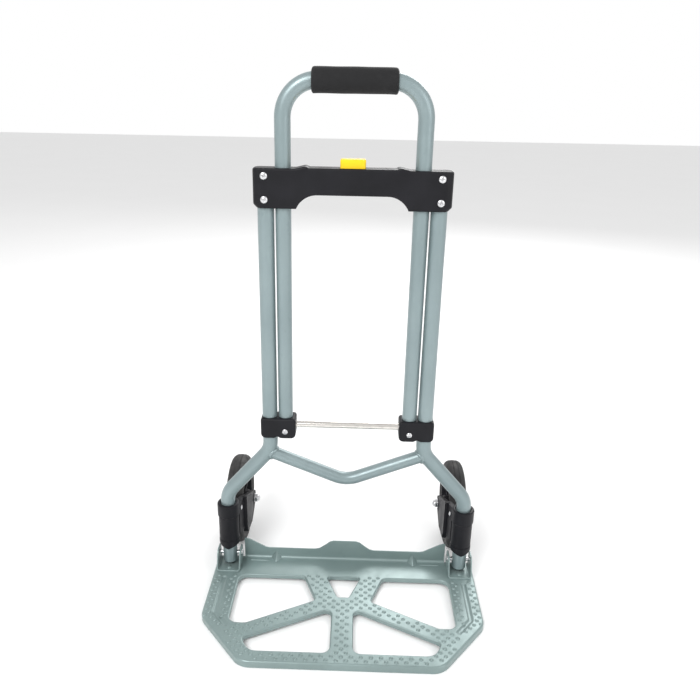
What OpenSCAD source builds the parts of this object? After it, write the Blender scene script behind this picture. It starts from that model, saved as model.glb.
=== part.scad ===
// Folding hand truck with a telescoping handle, a folding toe plate and
// wheels that swing in behind the frame as the toe plate folds up.

/* [Frame] */
// Diameter of the outer frame tubes
tube_d = 22; // [20:0.5:24]
// Wall thickness of all tubes
tube_wall = 1.5; // [1:0.1:2]
// Half distance between the upright parts of the frame tubes
upright_x = 114; // [110:1:118]
// Half distance between the two legs
leg_x = 182; // [178:1:186]
// Height where the upright turns outwards
upper_bend_z = 219; // [215:1:224]
// Height where the leg turns down
lower_bend_z = 141; // [138:1:146]
// Centreline radius of the tube bends
bend_r = 36; // [30:1:40]
// Height of the cut end of the legs
leg_end_z = 18.5; // [18:0.5:20]
// Height of the middle of the V-shaped brace
brace_mid_z = 168.5; // [166:0.5:172]
// Diameter of the brace tube
brace_d = 19; // [18:0.5:20]

/* [Handle] */
// Diameter of the telescoping handle tubes
handle_d = 21; // [19:0.5:21]
// Half distance between the handle tubes
handle_x = 90.7; // [88:0.1:91]
// Height of the centreline of the top of the handle
handle_top_z = 735; // [700:5:780]
// Centreline radius of the handle corners
handle_r = 45; // [40:1:50]
// Length of the foam grip
grip_l = 108; // [90:2:110]
// Diameter of the foam grip
grip_d = 32; // [28:0.5:33]
// Diameter of the rod that ties the two sliders
tie_d = 10; // [8:0.5:11]

/* [Crossbar] */
// Half width of the crossbar
bar_x = 129.5; // [128:0.5:132]
// Bottom of the crossbar ends
bar_z0 = 578; // [576:1:580]
// Top of the crossbar ends
bar_z1 = 629; // [627:1:631]
// Bottom of the middle of the crossbar
arch_z = 596; // [594:1:598]
// Top of the middle of the crossbar
mid_z = 632.5; // [632:0.5:635]
// Thickness of the crossbar from front to back
bar_t = 31; // [30:0.5:36]
// Travel of the release button
button_travel = 6; // [5:0.5:6]

/* [Wheels] */
// Radius of the tyre
wheel_r = 73; // [70:0.5:74]
// Width of the tyre
tyre_w = 28; // [26:1:28]
// Distance of the axle behind the leg
axle_y = 92; // [90:1:96]
// Distance of the wheel's middle plane inboard of the leg
wheel_in = 2; // [1:0.5:2]

/* [Toe plate] */
// Height of the top of the toe plate
plate_z = 11; // [10:0.5:11]
// Sheet thickness of the toe plate
plate_t = 2; // [1.5:0.1:2.5]
// Half width of the toe plate
plate_x = 204.5; // [203:0.5:207]
// Reach of the toe plate in front of the legs
plate_reach = 204; // [196:1:204]
// Height of the fold axis
hinge_z = 31; // [30.5:0.5:32]
// Height of the low part of the rear wall
wall_z = 29; // [26:0.5:29]

/* [Hidden] */
$fn = 48;
eps = 0.01;

left = -1;
right = 1;
tube_r = tube_d / 2;
handle_tube_r = handle_d / 2;
brace_r = brace_d / 2;
slide_gap = 0.4;
wheel_back = axle_y + wheel_r;
// The legs stand this far behind the middle of the whole truck
leg_y = (plate_reach - wheel_back) / 2;

painted = [0.60, 0.66, 0.67];
black = [0.08, 0.08, 0.09];
foam_black = [0.05, 0.05, 0.05];
yellow = [0.96, 0.82, 0.10];
zinc = [0.75, 0.76, 0.78];
rubber = [0.10, 0.10, 0.10];

// ---- helpers ----

// Puts parts drawn around the legs into the truck's own frame
module at_legs() translate([0, leg_y, 0]) children();

// The right-hand drawing, or its mirror image
module on_side(side) {
    if (side == right) children();
    else mirror([1, 0, 0]) children();
}

module rod_x(r, x0, x1) translate([x0, 0, 0]) rotate([0, 90, 0]) cylinder(r = r, h = x1 - x0);

module rod_y(r, y0, y1) translate([0, y0, 0]) rotate([-90, 0, 0]) cylinder(r = r, h = y1 - y0);

// Unit vector and left-hand normal of the way from p to q
function way(p, q) = (q - p) / norm(q - p);
function turn_left(v) = [-v[1], v[0]];

// Corner points of a counter-clockwise outline moved inwards by d
function inset(pts, d) = [
    for (i = [0:len(pts) - 1])
        let (
            n = len(pts),
            u = way(pts[(i + n - 1) % n], pts[i]),
            v = way(pts[i], pts[(i + 1) % n]),
            middle = turn_left(u) + turn_left(v))
        pts[i] + middle * d / (1 + u * v)
];

// Points of one rounded corner at b, between its neighbours a and c
function corner(a, b, c, r, steps) =
    let (
        u = way(a, b),
        v = way(b, c),
        bend = u[0] * v[1] - u[1] * v[0],
        turn = atan2(bend, u * v),
        reach = r * tan(abs(turn) / 2),
        hub = b - u * reach + turn_left(u) * r * sign(turn))
    r < eps ? [b] : [
        for (k = [0:steps])
            let (w = turn * k / steps, arm = (b - u * reach) - hub)
            hub + [arm[0] * cos(w) - arm[1] * sin(w), arm[0] * sin(w) + arm[1] * cos(w)]
    ];

// Outline with its corners rounded; radii[i] belongs to pts[i]
function rounded(pts, radii, steps = 6) = [
    for (i = [0:len(pts) - 1])
        let (n = len(pts))
        each corner(pts[(i + n - 1) % n], pts[i], pts[(i + 1) % n], radii[i], steps)
];

// A rounded outline moved inwards by d, or outwards when d is negative
function moved(pts, radii, d) =
    rounded(inset(pts, d), [for (r = radii) max(0, r - d)]);

// ---- frame tubes ----

leg_turn = atan2(leg_x - upright_x, upper_bend_z - lower_bend_z);
bend_reach = bend_r * tan(leg_turn / 2);
tube_top_z = bar_z1 - 5;

upright_end_z = upper_bend_z + bend_reach;
leg_top_z = lower_bend_z - bend_reach;
bend_steps = 7;
tube_sides = 32;

// Stations along the frame tube, from the top down: x, z and tilt
function frame_stations(extra) = concat(
    [[upright_x, tube_top_z + extra, 0]],
    [for (k = [0:bend_steps]) let (w = leg_turn * k / bend_steps)
        [upright_x + bend_r * (1 - cos(w)), upright_end_z - bend_r * sin(w), w]],
    [for (k = [bend_steps:-1:0]) let (w = leg_turn * k / bend_steps)
        [leg_x - bend_r * (1 - cos(w)), leg_top_z + bend_r * sin(w), w]],
    [[leg_x, leg_end_z - extra, 0]]);

function tube_ring(s, r) = [for (k = [0:tube_sides - 1]) let (a = 360 * k / tube_sides)
    [s[0] + r * cos(a) * cos(s[2]), r * sin(a), s[1] + r * cos(a) * sin(s[2])]];

// Round bar swept through stations that lie in the XZ plane
module swept(stations, r) {
    n = tube_sides;
    last = (len(stations) - 1) * n;
    polyhedron(
        points = [for (s = stations) each tube_ring(s, r)],
        faces = concat(
            [[for (k = [n - 1:-1:0]) k], [for (k = [0:n - 1]) last + k]],
            [for (j = [0:n:last - n], k = [0:n - 1])
                [j + k, j + (k + 1) % n, j + n + (k + 1) % n, j + n + k]]));
}

// Outer frame tube: upright, bend outwards, slope, bend down and leg
module frame_path(r, extra = 0) swept(frame_stations(extra), r);

// The frame tube around the upper bend, where the brace is welded on
module bend_path(r) {
    translate([upright_x, 0, upright_end_z]) cylinder(r = r, h = 40);
    translate([upright_x + bend_r, 0, upright_end_z]) rotate([90, 0, 0])
        rotate([0, 0, 180]) rotate_extrude(angle = leg_turn) translate([bend_r, 0]) circle(r = r);
}

screw_zs = [bar_z0 + 11.5, bar_z1 - 9.5];
bar_screw_r = 2.5;
pin_r = 3;
running_gap = 0.08;

module frame_tube(side) color(painted) at_legs() on_side(side) difference() {
    frame_path(tube_r);
    frame_path(tube_r - tube_wall, 1);
    for (z = screw_zs) translate([upright_x, 0, z]) rod_y(bar_screw_r, -tube_d, tube_d);
    translate([leg_x, 0, hinge_z]) rod_x(pin_r, -tube_d, tube_d);
}

brace_end_z = upper_bend_z - 4.5;
brace_fall = atan2(brace_end_z - brace_mid_z, upright_x);
brace_bend_r = 45;

// Stations along the brace, from the left end to the right end
brace_stations = concat(
    [[-upright_x, brace_end_z, 90 - brace_fall]],
    [for (k = [-bend_steps:bend_steps]) let (w = brace_fall * k / bend_steps)
        [brace_bend_r * sin(w), brace_mid_z + brace_bend_r * (1 / cos(brace_fall) - cos(w)), 90 + w]],
    [[upright_x, brace_end_z, 90 + brace_fall]]);

module cross_brace() color(painted) at_legs() difference() {
    swept(brace_stations, brace_r);
    swept(brace_stations, brace_r - tube_wall);
    for (side = [left, right]) on_side(side) bend_path(tube_r);
}

weld_l = 15;
weld_grow = 2;

module brace_welds() color(painted) at_legs() for (side = [left, right]) on_side(side) difference() {
    translate([upright_x, 0, brace_end_z]) rotate([0, 90 - brace_fall, 0])
        translate([0, 0, -weld_l])
            cylinder(r1 = brace_r, r2 = brace_r + weld_grow, h = weld_l);
    translate([upright_x, 0, brace_end_z]) rotate([0, 90 - brace_fall, 0])
        translate([0, 0, -weld_l - 1]) cylinder(r = brace_r, h = weld_l + 2);
    bend_path(tube_r);
}

plug_l = 9;
plug_lip = 1;

module leg_plugs() color(black) at_legs() for (side = [left, right]) on_side(side)
    translate([leg_x, 0, leg_end_z]) {
        translate([0, 0, -plug_lip]) cylinder(r = tube_r - 0.4, h = plug_lip);
        cylinder(r = tube_r - tube_wall - 0.1, h = plug_l);
    }

// ---- crossbar ----

bar_corner = 5;
ramp_x = [60, 74];
arch_x = 45.5;
arch_r = 30;
arch_turn = 62;
arch_end_x = 73;

// Right half of the crossbar's outline, then the same points mirrored
bar_right = concat(
    [for (k = [0:7]) let (w = arch_turn * k / 7)
        [arch_x + arch_r * sin(w), arch_z - arch_r * (1 - cos(w))]],
    [[arch_end_x, bar_z0], [bar_x - bar_corner, bar_z0], [bar_x, bar_z0 + bar_corner],
     [bar_x, bar_z1], [ramp_x[1], bar_z1], [ramp_x[0], mid_z]]);
bar_all = concat(bar_right, [for (k = [len(bar_right) - 1:-1:0]) [-bar_right[k][0], bar_right[k][1]]]);

module bar_block() {
    rotate([90, 0, 0]) linear_extrude(bar_t, center = true) polygon(bar_all);
}

button_w = 33;
button_d = 20;
button_top_z = mid_z + 9;
button_z0 = 620;
flange_w = 38;
flange_h = 3;
cavity_z0 = 599;
lip_z = 627;
bolt_z = 609.5;
bolt_r = 4;
bolt_nose_x = handle_x - handle_tube_r - slide_gap;
collar_x = 56;
collar_r = 6.4;
spring_x = [31, collar_x];
play = 0.35;

module bar_cavity() {
    translate([-button_w / 2 - play, -button_d / 2 - play, cavity_z0])
        cube([button_w + 2 * play, button_d + 2 * play, mid_z]);
    translate([-flange_w / 2 - play, -button_d / 2 - play, cavity_z0])
        cube([flange_w + 2 * play, button_d + 2 * play, lip_z - cavity_z0]);
    translate([0, 0, bolt_z]) {
        rod_x(bolt_r + play, -handle_x, handle_x);
        for (side = [left, right]) on_side(side)
            rod_x(collar_r + play, spring_x[0], collar_x + 3);
    }
}

module bar_bores() for (side = [left, right]) on_side(side) {
    translate([upright_x, 0, bar_z0 - 1]) cylinder(r = tube_r, h = tube_top_z - bar_z0 + 1);
    translate([handle_x, 0, bar_z0 - 1])
        cylinder(r = handle_tube_r + slide_gap, h = bar_z1 - bar_z0 + 2);
    for (z = screw_zs) translate([upright_x, 0, z]) rod_y(bar_screw_r, -bar_t, bar_t);
}

module bar_shell(y0) color(black) at_legs() difference() {
    intersection() {
        bar_block();
        translate([-bar_x, y0, bar_z0]) cube([2 * bar_x, bar_t / 2, mid_z - bar_z0]);
    }
    bar_cavity();
    bar_bores();
}

module crossbar_front() bar_shell(-bar_t / 2);

module crossbar_back() bar_shell(0);

screw_head_r = 4.9;
screw_head_h = 2.6;
nut_h = 4;

// Button head with a hexagon socket, pointing to -Y with its seat at y = 0
module button_head(r, h, socket_r) difference() {
    rotate([90, 0, 0]) rotate_extrude() intersection() {
        translate([0, h - (r * r + h * h) / (2 * h)]) circle(r = (r * r + h * h) / (2 * h), $fn = 96);
        square([r, h]);
    }
    translate([0, -h / 2, 0]) rotate([90, 0, 0]) cylinder(r = socket_r, h = h, $fn = 6);
}

module crossbar_screws() color(zinc) at_legs() for (side = [left, right]) on_side(side)
    for (z = screw_zs) translate([upright_x, 0, z]) {
        translate([0, -bar_t / 2, 0]) button_head(screw_head_r, screw_head_h, 1.7);
        rod_y(bar_screw_r, -bar_t / 2, bar_t / 2 + nut_h);
    }

module crossbar_nuts() color(zinc) at_legs() for (side = [left, right]) on_side(side)
    for (z = screw_zs) translate([upright_x, bar_t / 2, z]) difference() {
        rotate([-90, 0, 0]) cylinder(r = 4.6, h = nut_h - 0.5, $fn = 6);
        rod_y(bar_screw_r, -1, nut_h + 1);
    }

// ---- release button and lock bolts ----

cam_t = 4;
cam_z0 = 605.5;
cam_pin_r = 1.5;
cam_pin_x = 13;
slot_r = cam_pin_r + 0.25;

module release_button() color(yellow) at_legs() difference() {
    union() {
        hull() {
            translate([-button_w / 2, -button_d / 2, button_z0])
                cube([button_w, button_d, button_top_z - button_z0 - 3]);
            for (x = [-1, 1], y = [-1, 1])
                translate([x * (button_w / 2 - 2.5), y * (button_d / 2 - 2.5), button_top_z - 2.5])
                    sphere(r = 2.5, $fn = 16);
        }
        translate([-flange_w / 2, -button_d / 2, button_z0])
            cube([flange_w, button_d, flange_h]);
        translate([-button_w / 2, -cam_t / 2, cam_z0])
            cube([button_w, cam_t, button_z0 - cam_z0 + 1]);
    }
    for (side = [left, right]) on_side(side) cam_slot();
    translate([0, 0, cam_z0 - 1]) cylinder(r = 3.4, h = button_z0 - cam_z0 + 3);
}

// The slot runs from the pin up and towards the middle
module cam_slot() translate([cam_pin_x, 0, bolt_z]) rotate([0, 45, 0]) {
    rod_y(slot_r, -cam_t, cam_t);
    translate([-button_travel * sqrt(2), 0, 0]) rod_y(slot_r, -cam_t, cam_t);
    translate([-button_travel * sqrt(2), -cam_t, -slot_r])
        cube([button_travel * sqrt(2), 2 * cam_t, 2 * slot_r]);
}

spring_wire_r = 0.5;

// Stack of rings that stands for a close coil, rising along +Z
module coil(mean_r, l, rings) for (k = [0:rings - 1])
    translate([0, 0, spring_wire_r + k * (l - 2 * spring_wire_r) / (rings - 1)])
        rotate_extrude() translate([mean_r, 0]) circle(r = spring_wire_r, $fn = 16);

// The thin bar joins the rings into one solid
module button_spring() color(zinc) at_legs() translate([0, 0, cavity_z0]) {
    l = button_z0 + 2 - cavity_z0;
    coil(2.6, l, 9);
    translate([2.6, 0, spring_wire_r]) cylinder(r = 0.45, h = l - 2 * spring_wire_r, $fn = 16);
}

fork_x = [9, 24];
fork_gap = cam_t / 2 + 0.3;

module lock_bolt(side) color(zinc) at_legs() on_side(side) translate([0, 0, bolt_z]) {
    difference() {
        union() {
            rod_x(bolt_r, fork_x[0], bolt_nose_x);
            rod_x(collar_r, collar_x, collar_x + 2.5);
        }
        translate([fork_x[0] - 1, -fork_gap, -bolt_r - 1])
            cube([fork_x[1] - fork_x[0] + 1, 2 * fork_gap, 2 * bolt_r + 2]);
    }
    translate([cam_pin_x, 0, 0]) rod_y(cam_pin_r, -fork_gap - 0.5, fork_gap + 0.5);
}

module lock_spring(side) color(zinc) at_legs() on_side(side) translate([spring_x[0], 0, bolt_z])
    rotate([0, 90, 0]) {
        l = spring_x[1] - spring_x[0];
        coil(5.2, l, 9);
        translate([5.2, 0, spring_wire_r]) cylinder(r = 0.45, h = l - 2 * spring_wire_r, $fn = 16);
    }

// ---- telescoping handle ----

slider_z = [243, 275];
slider_x = [75.5, 126.5];
slider_t = 29;
socket_z = slider_z[0] + 3;
slider_screw_z = slider_z[0] + 12;
slider_screw_r = 2;
tie_z = 261.5;
tie_end_x = handle_x - handle_tube_r - 0.4;

module handle_path(r, extra = 0) {
    straight = handle_top_z - handle_r - socket_z;
    for (side = [left, right]) on_side(side) {
        translate([handle_x, 0, socket_z - extra]) cylinder(r = r, h = straight + extra);
        translate([handle_x - handle_r, 0, handle_top_z - handle_r]) rotate([90, 0, 0])
            rotate_extrude(angle = 90) translate([handle_r, 0]) circle(r = r);
    }
    translate([0, 0, handle_top_z]) rod_x(r, handle_r - handle_x, handle_x - handle_r);
}

module handle_tube() color(painted) at_legs() difference() {
    handle_path(handle_tube_r);
    handle_path(handle_tube_r - tube_wall, 1);
    for (side = [left, right]) on_side(side)
        translate([handle_x, 0, slider_screw_z]) rod_y(slider_screw_r, -slider_t, 0);
}

module foam_grip() color(foam_black) at_legs() translate([0, 0, handle_top_z]) difference() {
    rotate([0, 90, 0]) rotate_extrude() polygon(rounded(
        [[0, -grip_l / 2], [grip_d / 2, -grip_l / 2], [grip_d / 2, grip_l / 2], [0, grip_l / 2]],
        [0, 3, 3, 0]));
    translate([0, 0, -handle_top_z]) handle_path(handle_tube_r);
}

slider_pts = [
    [slider_x[0], slider_z[0]], [slider_x[1], slider_z[0]],
    [slider_x[1], slider_z[1]], [slider_x[0], slider_z[1]]];

module slider(side) color(black) at_legs() on_side(side) difference() {
    rotate([90, 0, 0]) linear_extrude(slider_t, center = true)
        polygon(rounded(slider_pts, [7, 7, 4, 4]));
    translate([upright_x, 0, slider_z[0] - 1])
        cylinder(r = tube_r + slide_gap, h = slider_z[1] - slider_z[0] + 2);
    translate([handle_x, 0, socket_z]) cylinder(r = handle_tube_r, h = slider_z[1]);
    translate([0, 0, tie_z]) rod_x(tie_d / 2, slider_x[0] - 1, tie_end_x + 0.2);
    translate([handle_x, 0, slider_screw_z]) rod_y(slider_screw_r, -slider_t, 0);
}

module tie_rod() color(zinc) at_legs() translate([0, 0, tie_z]) rod_x(tie_d / 2, -tie_end_x, tie_end_x);

module slider_screws() color(zinc) at_legs() for (side = [left, right]) on_side(side)
    translate([handle_x, -slider_t / 2, slider_screw_z]) {
        button_head(4.2, 2.2, 1.8);
        rod_y(slider_screw_r, 0, slider_t / 2 - 3);
    }

// ---- toe plate hinge pins ----

cheek_in = 16.4;
cheek_t = 2;
cheek_out = cheek_in + cheek_t;

module hinge_pin(side) color(zinc) at_legs() on_side(side) translate([leg_x, 0, hinge_z]) {
    rod_x(pin_r, -cheek_out - 0.3, cheek_out + 0.3);
    for (end = [left, right]) on_side(end) rotate([0, 90, 0]) translate([0, 0, cheek_out + 0.15])
        rotate_extrude() intersection() {
            translate([0, -4.5]) circle(r = 7, $fn = 96);
            square([5, 2.5]);
        }
}

// ---- swinging wheel brackets ----

sleeve_r = 16.8;
sleeve_mid_r = 15.6;
skirt_r = 16;
sleeve_z = [46, 60, 102, 124];
skirt_rise = 6.4;
// Inner and outer face of the arm, measured outwards from the leg
arm_x = [-26, -18.2];
boss_r = 13;
boss_h = 0.6;
axle_r = 4;

// Side view of the arm, as distance behind the leg and height
arm_pts = [
    [2, 63], [20.5, 63], [24, 52], [60, 46], [axle_y - 4, wheel_r - 17], [axle_y + 13, wheel_r - 6],
    [axle_y + 13, wheel_r + 8], [axle_y - 6, wheel_r + 17], [58, 104], [22, 122], [2, 122]];
arm_radii = [1, 1, 3, 12, 12, 12, 12, 12, 20, 5, 1];

module arm_solid(x0, x1) translate([x0, 0, 0]) rotate([90, 0, 90])
    linear_extrude(x1 - x0) polygon(rounded(arm_pts, arm_radii));

module sleeve_solid() {
    z = sleeve_z;
    difference() {
        translate([0, 0, z[0]]) cylinder(r = skirt_r, h = z[1] - z[0]);
        rotate([90, 0, 0]) linear_extrude(3 * sleeve_r, center = true) polygon([
            [-2 * sleeve_r, z[0] - 1], [2 * sleeve_r, z[0] - 1],
            [2 * sleeve_r, z[0] + 2 * skirt_rise], [0, z[0]], [-2 * sleeve_r, z[0] + 2 * skirt_rise]]);
    }
    translate([0, 0, z[1] - eps]) cylinder(r = sleeve_mid_r, h = z[2] - z[1] + 2 * eps);
    translate([0, 0, z[2]]) rotate_extrude() polygon(rounded(
        [[0, 0], [sleeve_r, 0], [sleeve_r, z[3] - z[2]], [0, z[3] - z[2]]], [0, 1, 2, 0]));
    // bridge between sleeve and arm
    translate([arm_x[1], 0, 63]) cube([-arm_x[1], 14, 59]);
}

module wheel_bracket(side) color(black) at_legs() on_side(side) translate([leg_x, 0, 0]) difference() {
    union() {
        sleeve_solid();
        intersection() {
            arm_solid(arm_x[0], arm_x[1]);
            translate([-100, 18, 0]) cube([200, 200, 200]);
        }
        // near the sleeve the arm steps in to clear the folded hinge bracket
        intersection() {
            arm_solid(arm_x[1], -13);
            translate([-100, 6, 0]) cube([200, 14, 200]);
        }
        intersection() {
            arm_solid(arm_x[1] - 2, -16.8);
            translate([-100, 18, 0]) cube([200, 9, 200]);
        }
        translate([arm_x[0] - boss_h, axle_y, wheel_r]) rotate([0, 90, 0])
            cylinder(r = boss_r, h = arm_x[1] - arm_x[0] + boss_h);
    }
    translate([0, 0, sleeve_z[0] - 1]) cylinder(r = tube_r + slide_gap, h = sleeve_z[3]);
    translate([0, axle_y, wheel_r]) rod_x(axle_r, arm_x[0] - 3, arm_x[1] + 1);
    translate([0, sleeve_screw[0], sleeve_screw[1]]) rod_x(2, -19, -14.5);
}

sleeve_screw = [10, 108];

module sleeve_screw(side) color(zinc) at_legs() on_side(side)
    translate([leg_x, sleeve_screw[0], sleeve_screw[1]]) {
        rod_x(2, -18.2, -14.5);
        translate([-18.2, 0, 0]) rotate([0, 0, -90]) button_head(4, 2, 1.6);
    }

hub_half = 14.5;
hub_r = 14;
bush_r = 6.5;
wheel_mid = -wheel_in;
bolt_head_h = 4.5;
washer_t = 1;
side_gap = 0.3;

module at_axle(side) at_legs() on_side(side) translate([leg_x, axle_y, wheel_r]) children();

module axle_bolt(side) color(zinc) at_axle(side) {
    head_x = wheel_mid + hub_half + side_gap + washer_t;
    rod_x(axle_r, arm_x[0] - boss_h - 6, head_x);
    translate([head_x, 0, 0]) rotate([0, 0, 90]) button_head(7.5, bolt_head_h, 2.6);
}

module cap_nut(side) color(zinc) at_axle(side) translate([arm_x[0] - boss_h, 0, 0]) rotate([0, -90, 0])
    difference() {
        union() {
            cylinder(r = 7.2, h = 5, $fn = 6);
            translate([0, 0, 4]) sphere(r = 5.6);
        }
        translate([0, 0, -6]) cylinder(r = axle_r, h = 12);
        translate([0, 0, -10]) cylinder(r = 10, h = 10);
    }

module axle_washers(side) color(zinc) at_axle(side) difference() {
    union() {
        rod_x(8, wheel_mid + hub_half + side_gap, wheel_mid + hub_half + side_gap + washer_t);
        rod_x(8, arm_x[1], arm_x[1] + washer_t);
    }
    rod_x(axle_r, -40, 40);
}

rim_r = 53;
rim_in_r = 47;
rim_half = 12;
spokes = 5;

module wheel_rim(side) color(black) at_axle(side) translate([wheel_mid, 0, 0]) difference() {
    union() {
        rod_x(hub_r, -hub_half, hub_half);
        rod_x(rim_in_r + eps, -2.5, 2.5);
        difference() {
            rod_x(rim_r, -rim_half, rim_half);
            rod_x(rim_in_r, -rim_half - 1, rim_half + 1);
        }
        for (k = [0:spokes - 1]) rotate([k * 360 / spokes, 0, 0])
            translate([-7, -2.5, hub_r - 1]) cube([14, 5, rim_in_r - hub_r + 2]);
    }
    rod_x(bush_r, -hub_half - 1, hub_half + 1);
    for (k = [0:spokes - 1]) rotate([(k + 0.5) * 360 / spokes, 0, 0])
        translate([0, 0, 31]) rod_x(9.5, -4, 4);
}

module hub_bush(side) color(zinc) at_axle(side) translate([wheel_mid, 0, 0]) difference() {
    rod_x(bush_r, -hub_half, hub_half);
    rod_x(axle_r + running_gap, -hub_half - 1, hub_half + 1);
}

crown_half = 8.5;

module tyre(side) color(rubber) at_axle(side) translate([wheel_mid, 0, 0]) rotate([0, 90, 0])
    rotate_extrude($fn = 96) polygon(rounded(
        [[rim_r, -rim_half], [rim_r + 4, -tyre_w / 2], [wheel_r - 7, -tyre_w / 2], [wheel_r, -crown_half],
         [wheel_r, crown_half], [wheel_r - 7, tyre_w / 2], [rim_r + 4, tyre_w / 2], [rim_r, rim_half]],
        [0, 2, 5, 9, 9, 5, 2, 0]));

// ---- toe plate ----

wall_y = [16, 18];
wall_end_z = 46;
tab_z = 45.5;
wall_end_x = 161.5;
hole_lip = 5;

// Counter-clockwise outline of the plate and the radius of each corner
plate_pts = [
    [-plate_x, wall_y[1]], [-plate_x, -120], [-136, -plate_reach], [136, -plate_reach],
    [plate_x, -120], [plate_x, wall_y[1]]];
plate_radii = [4, 26, 30, 30, 26, 4];

// Counter-clockwise outlines of the right-hand holes
rear_hole = [[61, -28.5], [41, -81], [138, -131.5], [163, -131.5], [163, -28.5]];
rear_hole_radii = [9, 6, 8, 12, 14];
front_hole = [[16, -98], [16, -183], [127, -183], [139, -160]];
front_hole_radii = [8, 11, 18, 7];
mid_hole = [[-26.5, -27.5], [-8.5, -73.3], [8.5, -73.3], [26.5, -27.5]];
mid_hole_radii = [4, 3, 3, 4];

module hole_shapes(d) {
    for (side = [left, right]) scale([side, 1]) {
        polygon(moved(rear_hole, rear_hole_radii, d));
        polygon(moved(front_hole, front_hole_radii, d));
    }
    polygon(moved(mid_hole, mid_hole_radii, d));
}

// Rear wall seen from the front, right half from the middle outwards
wall_right = [
    [19, tab_z], [31, tab_z - 8], [45, wall_z], [124, wall_z], [155, wall_end_z], [wall_end_x, wall_end_z]];
wall_all = concat(
    [[-wall_end_x, plate_z], [wall_end_x, plate_z]],
    [for (k = [len(wall_right) - 1:-1:0]) wall_right[k]],
    [for (p = wall_right) [-p[0], p[1]]]);

module toe_plate() color(painted) at_legs() difference() {
    union() {
        difference() {
            linear_extrude(plate_z) polygon(moved(plate_pts, plate_radii, 0));
            translate([0, 0, -1]) linear_extrude(plate_z - plate_t + 1)
                polygon(moved(plate_pts, plate_radii, plate_t));
        }
        translate([0, 0, plate_z - plate_t - hole_lip]) linear_extrude(hole_lip + 1)
            hole_shapes(-plate_t);
    }
    translate([0, 0, -1]) linear_extrude(plate_z + 2) hole_shapes(0);
    for (side = [left, right]) on_side(side)
        for (y = rivet_ys) translate([leg_x, y, 0]) cylinder(r = rivet_r, h = plate_z + 1);
}

gusset_x = 110;
gusset_half = 8;
gusset_top_z = 22;
gusset_y = 2;

// Rear wall with its two triangular gussets, standing on the back edge of the plate
module toe_wall() color(painted) at_legs() {
    translate([0, wall_y[1], 0]) rotate([90, 0, 0]) linear_extrude(wall_y[1] - wall_y[0])
        polygon(wall_all);
    for (side = [left, right]) on_side(side) hull() {
        translate([gusset_x - gusset_half, wall_y[0], plate_z]) cube([2 * gusset_half, 1, 0.5]);
        translate([gusset_x - 1, wall_y[0], gusset_top_z]) cube([2, 1, 1]);
        translate([gusset_x - 1, gusset_y, plate_z]) cube([2, 1, 0.5]);
    }
}

bracket_y = [-25, 13];
cheek_top_z = 42;
rivet_ys = [-15, 9];
rivet_r = 2.5;

cheek_pts = [
    [bracket_y[0], plate_z], [bracket_y[1], plate_z], [9, cheek_top_z], [-13, cheek_top_z]];

module hinge_bracket(side) color(painted) at_legs() on_side(side) translate([leg_x, 0, 0]) difference() {
    union() {
        translate([-cheek_out, bracket_y[0], plate_z])
            cube([2 * cheek_out, bracket_y[1] - bracket_y[0], cheek_t]);
        for (x = [-cheek_out, cheek_in]) translate([x, 0, 0]) rotate([90, 0, 90])
            linear_extrude(cheek_t) polygon(rounded(cheek_pts, [0, 0, 6, 8]));
    }
    translate([0, 0, hinge_z]) rod_x(pin_r + running_gap, -cheek_out - 1, cheek_out + 1);
    for (y = rivet_ys) translate([0, y, 0]) cylinder(r = rivet_r, h = 2 * plate_z);
}

module bracket_rivets(side) color(zinc) at_legs() on_side(side) for (y = rivet_ys)
    translate([leg_x, y, plate_z + cheek_t]) {
        rotate_extrude() intersection() {
            translate([0, -4.6]) circle(r = 6.1, $fn = 96);
            square([4, 1.5]);
        }
        translate([0, 0, -cheek_t - plate_t - 1]) cylinder(r = rivet_r, h = cheek_t + plate_t + 1);
        translate([0, 0, -cheek_t - plate_t - 1.5]) cylinder(r = 4, h = 1.5);
    }

// ---- parts ----

frame_tube(left);  // frame_tube_left
frame_tube(right);  // frame_tube_right
cross_brace();
brace_welds();
leg_plugs();
crossbar_front();
crossbar_back();
crossbar_screws();
crossbar_nuts();
release_button();
button_spring();
lock_bolt(left);  // lock_bolt_left
lock_bolt(right);  // lock_bolt_right
lock_spring(left);  // lock_spring_left
lock_spring(right);  // lock_spring_right
handle_tube();
foam_grip();
slider(left);  // slider_left
slider(right);  // slider_right
tie_rod();
slider_screws();
hinge_pin(left);  // hinge_pin_left
hinge_pin(right);  // hinge_pin_right
wheel_bracket(left);  // wheel_bracket_left
wheel_bracket(right);  // wheel_bracket_right
sleeve_screw(left);  // sleeve_screw_left
sleeve_screw(right);  // sleeve_screw_right
axle_bolt(left);  // axle_bolt_left
axle_bolt(right);  // axle_bolt_right
cap_nut(left);  // cap_nut_left
cap_nut(right);  // cap_nut_right
axle_washers(left);  // axle_washers_left
axle_washers(right);  // axle_washers_right
wheel_rim(left);  // wheel_rim_left
wheel_rim(right);  // wheel_rim_right
hub_bush(left);  // hub_bush_left
hub_bush(right);  // hub_bush_right
tyre(left);  // tyre_left
tyre(right);  // tyre_right
toe_plate();
toe_wall();
hinge_bracket(left);  // hinge_bracket_left
hinge_bracket(right);  // hinge_bracket_right
bracket_rivets(left);  // bracket_rivets_left
bracket_rivets(right);  // bracket_rivets_right
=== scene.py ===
"""Folding hand truck: looks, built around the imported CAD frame.

Shapes are drawn in millimetres around the legs (y = 0 in the plane of the tubes),
then put into the shared frame in metres.
"""
import math
import random

import bmesh
import bpy
from mathutils import Matrix, Vector


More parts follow.
